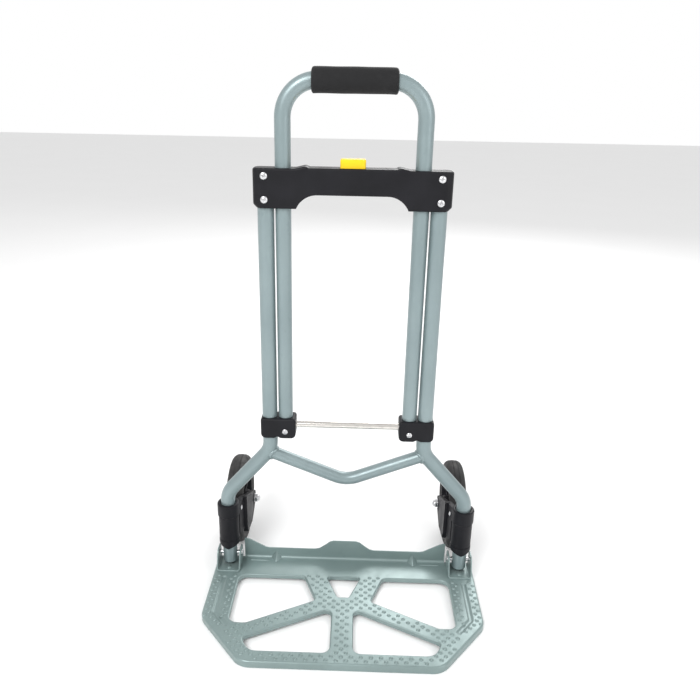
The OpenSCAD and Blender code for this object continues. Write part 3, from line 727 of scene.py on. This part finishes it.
def side_on(p, depth):
    return (depth, p[0], p[1])


def bracket_shape():
    shape = sleeve_shape()
    shape.pillow(arm_outline(18.2), ARM_X[0], ARM_X[1], 1.2, side_on)
    # low raised border along the free edge of the inner face
    outer, inner = moved(ARM_POINTS, ARM_RADII, 1.6, 6), moved(ARM_POINTS, ARM_RADII, 3.6, 6)
    rings = []
    for (y0, z0), (y1, z1) in zip(outer, inner):
        if min(y0, y1) > 30:
            rings.append([(ARM_X[0] + 0.3, y0, z0),
                          (ARM_X[0] - 0.5, y0 * 0.8 + y1 * 0.2, z0 * 0.8 + z1 * 0.2),
                          (ARM_X[0] - 0.5, y0 * 0.2 + y1 * 0.8, z0 * 0.2 + z1 * 0.8),
                          (ARM_X[0] + 0.3, y1, z1)])
    shape.loft(rings)
    axle = Vector((0, AXLE_Y, WHEEL_R))
    shape.lathe(axle, (1, 0, 0), [(ARM_X[0] - BOSS_H, 4), (ARM_X[0] - BOSS_H, BOSS_R - 0.5),
                                  (ARM_X[0] - 0.1, BOSS_R), (ARM_X[1] - 0.4, BOSS_R),
                                  (ARM_X[1], BOSS_R - 0.6), (ARM_X[1], 4)])
    # bridge from the sleeve to the arm
    bridge = Shape().pillow(
        lambda d: moved([(ARM_X[1] - 0.3, 9), (-14.5, -6), (-9, -6), (-9, 9), (-13.5, 19.6),
                         (ARM_X[1] + 1, 26), (ARM_X[0] + 1, 34), (ARM_X[0] - 0.1, 33)],
                        [9, 2, 1, 1, 2, 1, 0.3, 0.3], d, 5), 63.4, 121.4, 0.8, in_plan)
    return shape, bridge


def keep_zone():
    """The bridge stays inside the arm's own side view and behind the sleeve's tangent."""
    return Shape().pillow(lambda d: moved(ARM_POINTS, ARM_RADII, d, 6), ARM_X[0], -8, 0.01, side_on)


for side_name, side in SIDES.items():
    body = f"swivel_{side_name}"
    shape, bridge = bracket_shape()
    to_leg = Matrix.Translation((LEG_X, 0, 0))
    show(f"wheel_bracket_shell_{side_name}", mesh_of("bracket", shape.turned(to_leg), side), body, BLACK,
         [f"wheel_bracket_{side_name}"], angle=34)
    web = cut(mesh_of("web", bridge.turned(to_leg), side), "web_trimmed", keep_zone().turned(to_leg),
              "INTERSECT", side)
    show(f"wheel_bracket_web_{side_name}", web, body, BLACK, angle=34)
    head = [(side * (LEG_X + ARM_X[1] - 0.1), 10, 108)]
    screws(f"sleeve_screw_head_{side_name}", head, 4, 2, 1.7, body, f"sleeve_screw_{side_name}",
           (-side, 0, 0))


# ---- wheels ----

def tyre_profile():
    rim, half = 53, WHEEL_HALF
    right = [(0, WHEEL_R - 0.05), (2.6, WHEEL_R - 0.15), (3.2, WHEEL_R - 1.0), (4.2, WHEEL_R - 1.0),
             (4.8, WHEEL_R - 0.3), (7.0, WHEEL_R - 0.8), (9.4, WHEEL_R - 1.9), (11.4, WHEEL_R - 3.6),
             (12.8, WHEEL_R - 5.6), (13.6, WHEEL_R - 7.8), (half, WHEEL_R - 10),
             (half - 0.1, WHEEL_R - 12.6),
             (half - 0.7, WHEEL_R - 13.1), (half - 0.7, WHEEL_R - 13.8), (half - 0.2, WHEEL_R - 14.3),
             (half - 0.5, rim + 3.6), (half - 1.2, rim + 1.4), (12.2, rim)]
    left = [(-x, r) for x, r in reversed(right[1:])]
    return left + right + [(11.6, rim - 1.2), (-11.6, rim - 1.2)]


def lathe_ring(profile, sides):
    """Turned ring about X through the axle; the profile closes on itself."""
    axle = Vector((WHEEL_X, AXLE_Y, WHEEL_R))
    rings = [[axle + Vector((x, r * math.sin(2 * math.pi * k / sides),
                             r * math.cos(2 * math.pi * k / sides)))
              for x, r in profile] for k in range(sides)]
    return Shape().loft(rings, loop=True)


def rim_shape():
    shape = lathe_ring([(-12, 47.6), (-12, 52.0), (-11.4, 52.9), (-9, 53.0), (-8, 51.6), (8, 51.6),
                        (9, 53.0), (11.4, 52.9), (12, 52.0), (12, 47.6), (11.2, 47.0), (3, 46.2),
                        (-3, 46.2), (-11.2, 47.0)], 96)
    shape.join(lathe_ring([(-14.5, 6.5), (-14.5, 12.6), (-13.8, 13.6), (-4, 14.4), (4, 14.4), (13.8, 13.6),
                           (14.5, 12.6), (14.5, 6.5)], 64))
    axle = Matrix.Translation((WHEEL_X, AXLE_Y, WHEEL_R))
    for k in range(5):
        spoke = Shape().pillow(lambda d: moved([(-6.5, 12), (6.5, 12), (4.6, 30), (7.6, 47.4), (-7.6, 47.4),
                                                (-4.6, 30)], [0.5, 0.5, 30, 0.5, 0.5, 30], d, 4),
                               -4.2, 4.2, 1.4, side_on)
        rib = Shape().pillow(lambda d: moved([(-1.5, 12), (1.5, 12), (1.5, 47), (-1.5, 47)],
                                             [0.3] * 4, d, 2), -7.8, 7.8, 0.8, side_on)
        turn = axle @ Matrix.Rotation(2 * math.pi * k / 5, 4, "X")
        shape.join(spoke, turn).join(rib, turn)
    return shape


def nut_shape():
    """Cap nut: hexagon with a chamfered face, a domed cap and a thin flange."""
    x = ARM_X[0] - BOSS_H
    axle = (LEG_X, AXLE_Y, WHEEL_R)
    shape = Shape().lathe(axle, (-1, 0, 0), [(-x, 0), (-x, 7.9), (-x + 0.7, 7.9), (-x + 0.9, 7.2),
                                             (-x + 0.9, 0)])
    shape.lathe(axle, (-1, 0, 0), [(-x + 0.8, 0), (-x + 0.8, 7.2), (-x + 4.6, 7.2), (-x + 5.3, 6.2),
                                   (-x + 5.3, 0)], 6)
    cap = [(-x + 4.8 + 4.6 * math.sin(t), 5.5 * math.cos(t))
           for t in (math.pi / 2 * k / 8 for k in range(9))]
    return shape.lathe(axle, (-1, 0, 0), [(-x + 4.8, 0), *cap], 32)


for side_name, side in SIDES.items():
    show(f"tyre_tread_{side_name}", mesh_of("tyre", lathe_ring(tyre_profile(), 128), side),
         f"wheel_{side_name}", RUBBER, [f"tyre_{side_name}"], angle=50)
    show(f"wheel_rim_spoked_{side_name}", mesh_of("rim", rim_shape(), side), f"wheel_{side_name}", BLACK,
         [f"wheel_rim_{side_name}"], angle=34)
    show(f"cap_nut_dome_{side_name}", mesh_of("nut", nut_shape(), side), f"swivel_{side_name}", ZINC,
         [f"cap_nut_{side_name}"], bevel=0.2)


# ---- toe plate ----

PLATE_POINTS = [(-PLATE_X, WALL_Y[1]), (-PLATE_X, -120), (-136, PLATE_FRONT), (136, PLATE_FRONT),
                (PLATE_X, -120), (PLATE_X, WALL_Y[1])]
PLATE_RADII = [4, 26, 30, 30, 26, 4]
REAR_HOLE = [(61, -28.5), (41, -81), (138, -131.5), (163, -131.5), (163, -28.5)]
REAR_RADII = [9, 6, 8, 12, 14]
FRONT_HOLE = [(16, -98), (16, -183), (127, -183), (139, -160)]
FRONT_RADII = [8, 11, 18, 7]
MID_HOLE = [(-26.5, -27.5), (-8.5, -73.3), (8.5, -73.3), (26.5, -27.5)]
MID_RADII = [4, 3, 3, 4]
ROLL_R, HOLE_ROLL_R = 3, 2.1
GROOVE_IN, GROOVE_W, GROOVE_DEPTH = 15, 7.5, 1.8


def groove():
    """Driving points of the right-hand groove, which runs beside the plate's edge."""
    outer, inner = inset(PLATE_POINTS, GROOVE_IN)[4], inset(PLATE_POINTS, GROOVE_IN + GROOVE_W)[4]
    along = way(PLATE_POINTS[4], PLATE_POINTS[3])
    run = 34
    points = [(outer[0], -34), (inner[0], -34), inner,
              (inner[0] + along[0] * run, inner[1] + along[1] * run),
              (outer[0] + along[0] * (run + 2), outer[1] + along[1] * (run + 2)), outer]
    return points, [3, 3, 8, 3, 3, 12]


def plate_holes(d):
    """Outlines of the five holes, moved inwards by d."""
    made = []
    for points, radii in ((REAR_HOLE, REAR_RADII), (FRONT_HOLE, FRONT_RADII)):
        right = moved(points, radii, d)
        made += [right, mirrored(right)]
    return made + [moved(MID_HOLE, MID_RADII, d)]


def grooves(d):
    right = moved(*groove(), d)
    return [right, mirrored(right)]


def fill(shape, loops, z):
    """Flat sheet at height z between the first outline and the others."""
    bm = bmesh.new()
    edges = []
    for loop in loops:
        verts = [bm.verts.new((x, y, z)) for x, y in loop]
        edges += [bm.edges.new((verts[k - 1], verts[k])) for k in range(len(verts))]
    bmesh.ops.triangle_fill(bm, use_beauty=True, use_dissolve=False, edges=edges)
    bm.verts.index_update()
    shape.add([v.co.copy() for v in bm.verts], [[v.index for v in f.verts] for f in bm.faces])
    bm.free()


def plate_shape():
    shape = Shape()
    under = PLATE_Z - PLATE_T
    fill(shape, [moved(PLATE_POINTS, PLATE_RADII, ROLL_R), *plate_holes(-HOLE_ROLL_R), *grooves(-1)],
         PLATE_Z)
    fill(shape, [moved(PLATE_POINTS, PLATE_RADII, ROLL_R), *plate_holes(-HOLE_ROLL_R)], under)

    def rim(outline, foot, r):
        """Rolled edge and flange: down outside to the foot, then back up inside."""
        roll = [math.pi / 2 * k / 5 for k in range(6)]
        levels = [(r * (1 - math.sin(t)), PLATE_Z - r * (1 - math.cos(t))) for t in roll]
        levels += [(0, foot + 0.5), (0.5, foot), (PLATE_T - 0.5, foot), (PLATE_T, foot + 0.5)]
        levels += [(PLATE_T + (r - PLATE_T) * (1 - math.sin(t)), under - (r - PLATE_T) * (1 - math.cos(t)))
                   for t in reversed(roll)]
        shape.loft([[(x, y, z) for x, y in outline(d)] for d, z in levels], caps=(False, False))

    rim(lambda d: moved(PLATE_POINTS, PLATE_RADII, d), 0, ROLL_R)
    for k in range(5):
        rim(lambda d: plate_holes(-d)[k], under - HOLE_LIP, HOLE_ROLL_R)
    for k in range(2):
        levels = [(-1, PLATE_Z), (-0.4, PLATE_Z - 0.1), (0.4, PLATE_Z - 0.6), (1.3, PLATE_Z - 1.4),
                  (2.1, PLATE_Z - 1.7), (3, PLATE_Z - GROOVE_DEPTH)]
        shape.loft([[(x, y, z) for x, y in grooves(d)[k]] for d, z in levels], caps=(False, True))
    return shape


WALL_END_X, WALL_STEPS = 161.5, 216
WALL_TOP = [(0, 45.5), (18, 45.5), (24, 43.4), (32, 36.6), (40, 30.8), (47, 29.1), (54, 29), (121, 29),
            (127, 30), (151, 43.2), (157, 45.6), (162, 46)]


def wall_top(x):
    """Height of the rear wall at x: a middle tab, low stretches and rising ends."""
    x = abs(x)
    for (x0, z0), (x1, z1) in zip(WALL_TOP, WALL_TOP[1:]):
        if x <= x1:
            return z0 + (z1 - z0) * (x - x0) / (x1 - x0)
    return WALL_TOP[-1][1]


def wall_shape():
    front, back = WALL_Y
    bend = 4.5
    rings = []
    for k in range(WALL_STEPS + 1):
        x = -WALL_END_X + 2 * WALL_END_X * k / WALL_STEPS
        top = wall_top(x)
        ring = [(back, 7.5), (back, top - 1), (back - 0.3, top - 0.3), (back - 1, top - 0.05),
                (front + 0.3, top - 0.3), (front, top - 1), (front, PLATE_Z + bend)]
        ring += [(front - bend * (1 - math.cos(t)), PLATE_Z + bend * (1 - math.sin(t)))
                 for t in (math.pi / 2 * j / 6 for j in range(1, 7))]
        ring += [(front - bend - 0.3, PLATE_Z - 1), (back - 1.5, PLATE_Z - 1)]
        rings.append([(x, y, z) for y, z in ring])
    return Shape().loft(rings)


GUSSET_X, GUSSET_HALF = 110, 8.5
BEAD_X, BEAD_LENGTH = 121, 30


def gusset_shape():
    """Pressed triangular stiffeners in the crease, plus the long bead beside them."""
    shape = Shape()
    front = WALL_Y[0]
    for s in (LEFT, RIGHT):
        rings = []
        for k in range(15):
            u = -1 + 2 * k / 14
            lift = (1 - abs(u)) ** 0.85
            x = s * (GUSSET_X + GUSSET_HALF * u)
            rings.append([(x, front + 1, PLATE_Z - 0.6), (x, front + 1, PLATE_Z + 13 * lift),
                          (x, front - 0.4 - 2.5 * lift, PLATE_Z + 9 * lift + 0.3),
                          (x, front - 3.2 - 8 * lift, PLATE_Z + 1.2 * lift),
                          (x, front - 3.4 - 10 * lift, PLATE_Z - 0.6)])
        shape.loft(rings)
        bead = []
        for k in range(13):
            x = s * (BEAD_X + BEAD_LENGTH * k / 12)
            fade = math.sin(math.pi * min(1, (k + 0.3) / 2.0) / 2) if k < 2 else 1
            bead.append([(x, 7.4 + 1.7 * math.cos(a), PLATE_Z - 0.4 + 1.3 * fade * math.sin(a))
                         for a in (math.pi * j / 8 for j in range(9))])
        shape.loft(bead)
    return shape


def outline_gap(outline, x, y):
    """Signed distance from a closed outline: positive inside it."""
    best, inside = 1e9, False
    for i, (x1, y1) in enumerate(outline):
        x0, y0 = outline[i - 1]
        if (y0 > y) != (y1 > y) and x < (x1 - x0) * (y - y0) / (y1 - y0) + x0:
            inside = not inside
        dx, dy = x1 - x0, y1 - y0
        size = dx * dx + dy * dy
        t = 0 if size == 0 else max(0, min(1, ((x - x0) * dx + (y - y0) * dy) / size))
        best = min(best, math.hypot(x - x0 - dx * t, y - y0 - dy * t))
    return best if inside else -best


TREAD_STEP, TREAD_BACK_Y = 6.75, -28.6
EDGE_GAP, HOLE_GAP, GROOVE_GAP = 5.8, 4.1, 2.6
ARM_ROWS, ARM_INNER_X = (196.6, 171.8), 160
ARM_BACK_Y, ARM_END_Y, ARM_COUNT, ZIGZAG = -33, -121, 14, 2.5


def tread_places():
    """Bumps on a diagonal lattice, with a zigzag row on each strip of the side arms."""
    edge, barred, channels = moved(PLATE_POINTS, PLATE_RADII, 0, 5), plate_holes(0), grooves(0)
    places = []
    for j in range(int(-PLATE_FRONT / TREAD_STEP) + 1):
        for i in range(-31, 32):
            x, y = i * TREAD_STEP, TREAD_BACK_Y - TREAD_STEP * j
            on_arm = abs(x) > ARM_INNER_X and y > ARM_END_Y
            near_hole = max(outline_gap(hole, x, y) for hole in barred) > -HOLE_GAP
            near_groove = max(outline_gap(channel, x, y) for channel in channels) > -GROOVE_GAP
            if (i + j) % 2 == 0 and not on_arm and not near_hole and not near_groove:
                if outline_gap(edge, x, y) > EDGE_GAP:
                    places.append((x, y))
    for side in (LEFT, RIGHT):
        for row_x in ARM_ROWS:
            for k in range(ARM_COUNT):
                y = ARM_BACK_Y + (ARM_END_Y - ARM_BACK_Y) * k / (ARM_COUNT - 1)
                places.append((side * (row_x + (ZIGZAG if k % 2 else -ZIGZAG)), y))
    return places


def tread_shape():
    """Anti-slip bumps, low and rounded, pressed up from the sheet."""
    bump_r, bump_h, sunk = 3.1, 1.5, 0.5
    dice = random.Random(5)
    shape = Shape()
    for x, y in tread_places():
        size = bump_r * dice.uniform(0.95, 1.03)
        height = sunk + bump_h * dice.uniform(0.9, 1.05)
        shape.lathe((x, y, PLATE_Z - sunk), (0, 0, 1),
                    [(0, size), (sunk + 0.08, size * 0.98), (height * 0.62, size * 0.78),
                     (height * 0.86, size * 0.52), (height * 0.97, size * 0.26), (height, 0)], 14)
    return shape


show("toe_plate_sheet", mesh_of("plate", plate_shape()), "toe_plate", PLATE_PAINT,
     ["toe_plate"], angle=40)
show("toe_plate_wall", mesh_of("wall", wall_shape()), "toe_plate", PLATE_PAINT,
     ["toe_wall"], angle=40)
show("toe_plate_gussets", mesh_of("gussets", gusset_shape()), "toe_plate", PLATE_PAINT,
     angle=70)
show("toe_plate_tread", mesh_of("tread", tread_shape()), "toe_plate", PLATE_PAINT, angle=80)


# ---- hinge brackets, pins and rivets ----

BRACKET_Y = (-25, 13)
CHEEK_TOP_Z = high("hinge_bracket_right", 2)
CHEEK_POINTS = [(BRACKET_Y[0], PLATE_Z - 1), (BRACKET_Y[1], PLATE_Z - 1), (9, CHEEK_TOP_Z),
                (-13, CHEEK_TOP_Z)]
CHEEK_RADII = [0, 0, 6, 8]


def bracket_profile(d):
    """U section: outside corners rounded, then back along the inside."""
    out, inside, top = CHEEK_OUT, CHEEK_OUT - CHEEK_T, CHEEK_TOP_Z + 4
    floor = PLATE_Z + CHEEK_T
    points = [(-out, PLATE_Z), (out, PLATE_Z), (out, top), (inside, top), (inside, floor), (-inside, floor),
              (-inside, top), (-out, top)]
    return moved(points, [4.6, 4.6, 0, 0, 2.6, 2.6, 0, 0], d, 6)


def bracket_u():
    rings = [[(x, y, z) for x, z in bracket_profile(0)] for y in (BRACKET_Y[0] - 1, BRACKET_Y[1] + 1)]
    return Shape().loft(rings)


def bracket_zone():
    rings = [[(x, y, z) for y, z in rounded(CHEEK_POINTS, CHEEK_RADII)] for x in (-30, 30)]
    return Shape().loft(rings)


DIMPLE_Y, DIMPLE_Z = -13, (19, 25, 31)


def dimples():
    """Three small pressed spots in a row on each cheek."""
    shape = Shape()
    for s in (LEFT, RIGHT):
        for z in DIMPLE_Z:
            shape.lathe((s * CHEEK_OUT, DIMPLE_Y, z), (s, 0, 0),
                        [(-0.6, 0), (-0.6, 1.5), (0, 1.4), (0.45, 0.8), (0.55, 0)], 16)
            shape.lathe((s * (CHEEK_OUT - CHEEK_T), DIMPLE_Y - 0.5, z), (-s, 0, 0),
                        [(-0.6, 0), (-0.6, 1.5), (0, 1.4), (0.3, 0.8), (0.38, 0)], 16)
    return shape


def pin_shape():
    """Hinge pin with a domed head at each end."""
    reach = CHEEK_OUT + 0.15
    head = [(reach + 2.2 * math.sin(t), 4.6 * math.cos(t)) for t in (math.pi / 2 * k / 6 for k in range(7))]
    shape = Shape().lathe((0, 0, HINGE_Z), (1, 0, 0),
                          [(-reach, 0), (-reach, 2.95), (reach, 2.95), (reach, 0)], 32)
    for way_x in (LEFT, RIGHT):
        shape.lathe((0, 0, HINGE_Z), (way_x, 0, 0), [(reach, 0), *head], 32)
    return shape


RIVET_Y = (-15, 9)


def rivet_shape():
    """Low round head above the sheet and a set end below it."""
    shape = Shape()
    for y in RIVET_Y:
        shape.lathe((0, y, PLATE_Z + CHEEK_T - 0.1), (0, 0, 1),
                    [(0, 0), (0, 3.9), (0.4, 3.8), (1.0, 3.0), (1.4, 1.6), (1.5, 0)], 32)
        shape.lathe((0, y, PLATE_Z - PLATE_T - 1.2), (0, 0, 1),
                    [(0, 0), (0, 3.6), (0.3, 4), (1.2, 4), (1.2, 0)], 32)
    return shape


for side_name, side in SIDES.items():
    to_leg = Matrix.Translation((LEG_X, 0, 0))
    mesh = cut(mesh_of("channel", bracket_u().turned(to_leg), side), "channel_cut",
               bracket_zone().turned(to_leg), "INTERSECT", side)
    show(f"hinge_bracket_channel_{side_name}", mesh, "toe_plate", PLATE_PAINT,
         [f"hinge_bracket_{side_name}"], bevel=0.45, angle=40)
    show(f"hinge_bracket_dimples_{side_name}", mesh_of("dimples", dimples().turned(to_leg), side),
         "toe_plate", PLATE_PAINT, angle=60)
    show(f"hinge_pin_heads_{side_name}", mesh_of("pin", pin_shape().turned(to_leg), side), "frame", ZINC,
         [f"hinge_pin_{side_name}"], angle=40)
    show(f"bracket_rivet_heads_{side_name}", mesh_of("rivets", rivet_shape().turned(to_leg), side),
         "toe_plate", PLATE_PAINT, [f"bracket_rivets_{side_name}"], angle=40)


# ---- CAD nodes that keep their own shape ----

NODE_LOOKS = {
    "leg_plugs": BLACK, "crossbar_nuts": ZINC, "button_spring": STEEL, "lock_bolt_left": STEEL,
    "lock_bolt_right": STEEL, "lock_spring_left": STEEL, "lock_spring_right": STEEL,
    "axle_bolt_left": ZINC, "axle_bolt_right": ZINC, "axle_washers_left": ZINC, "axle_washers_right": ZINC,
    "hub_bush_left": BUSH, "hub_bush_right": BUSH}
for node_name, look in NODE_LOOKS.items():
    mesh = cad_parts[node_name].data
    mesh.materials.clear()
    mesh.materials.append(look)


# ---- camera, floor and light ----

SENSOR_MM, LENS_MM, LENS_SHIFT = 36, 34.9714, 0.0124
CAMERA_MM = (7.84, -902.2, 715.8)
PITCH, YAW, ROLL = math.radians(20.43), math.radians(1.188), math.radians(1.07)


def make_camera():
    data = bpy.data.cameras.new("photo_camera")
    data.sensor_width = SENSOR_MM
    data.lens = LENS_MM
    data.shift_x = LENS_SHIFT
    data.clip_start, data.clip_end = 0.05, 50
    camera = bpy.data.objects.new("photo_camera", data)
    bpy.context.scene.collection.objects.link(camera)
    ahead = Vector((-math.sin(YAW) * math.cos(PITCH), math.cos(YAW) * math.cos(PITCH), -math.sin(PITCH)))
    across = Vector((math.cos(YAW), math.sin(YAW), 0))
    up = across.cross(ahead)
    right = across * math.cos(ROLL) + up * math.sin(ROLL)
    up = right.cross(ahead)
    turn = Matrix((right, up, -ahead)).transposed().to_4x4()
    place = Vector((CAMERA_MM[0], CAMERA_MM[1] + LEG_Y, CAMERA_MM[2])) * MM
    camera.matrix_world = Matrix.Translation(place) @ turn
    bpy.context.scene.camera = camera


def area_light(name, place, target, size, power, colour=(1, 1, 1)):
    data = bpy.data.lights.new(name, "AREA")
    data.shape, data.size, data.energy, data.color = "DISK", size, power, colour
    lamp = bpy.data.objects.new(name, data)
    lamp.location = place
    lamp.rotation_euler = (Vector(target) - Vector(place)).to_track_quat("-Z", "Y").to_euler()
    bpy.context.scene.collection.objects.link(lamp)


def make_floor():
    mesh = bpy.data.meshes.new("floor")
    reach = 12
    mesh.from_pydata([(-reach, -reach, 0), (reach, -reach, 0), (reach, reach, 0), (-reach, reach, 0)], [],
                     [(0, 1, 2, 3)])
    look = Look("pale_floor")
    tone = look.mix(look.noise(3, 2), (0.92, 0.92, 0.92), (0.94, 0.94, 0.94))
    mesh.materials.append(look.finish(tone, Roughness=0.9))
    floor = bpy.data.objects.new("floor", mesh)
    bpy.context.scene.collection.objects.link(floor)


def make_world():
    """Soft grey studio, brighter behind the truck."""
    world = bpy.data.worlds.new("studio")
    world.use_nodes = True
    tree = world.node_tree
    sides = tree.nodes.new("ShaderNodeSeparateXYZ")
    spread = tree.nodes.new("ShaderNodeMapRange")
    spread.interpolation_type = "SMOOTHSTEP"
    for socket, value in zip((1, 2, 3, 4), (0.45, 0.85, 0.78, 1.0)):
        spread.inputs[socket].default_value = value
    tree.links.new(tree.nodes.new("ShaderNodeTexCoord").outputs["Generated"], sides.inputs[0])
    tree.links.new(sides.outputs["Y"], spread.inputs["Value"])
    tree.nodes["Background"].inputs["Color"].default_value = (1, 1, 1, 1)
    tree.links.new(spread.outputs[0], tree.nodes["Background"].inputs["Strength"])
    bpy.context.scene.world = world
    bpy.context.scene.view_settings.view_transform = "Standard"


make_camera()
make_floor()
make_world()
area_light("key", (-1.1, -1.9, 2.1), (0, 0, 0.35), 1.4, 48)
area_light("fill", (1.8, -1.4, 1.3), (0, 0, 0.3), 1.8, 14)
area_light("rim", (0.6, 2.2, 1.9), (0, 0, 0.4), 1.6, 30)
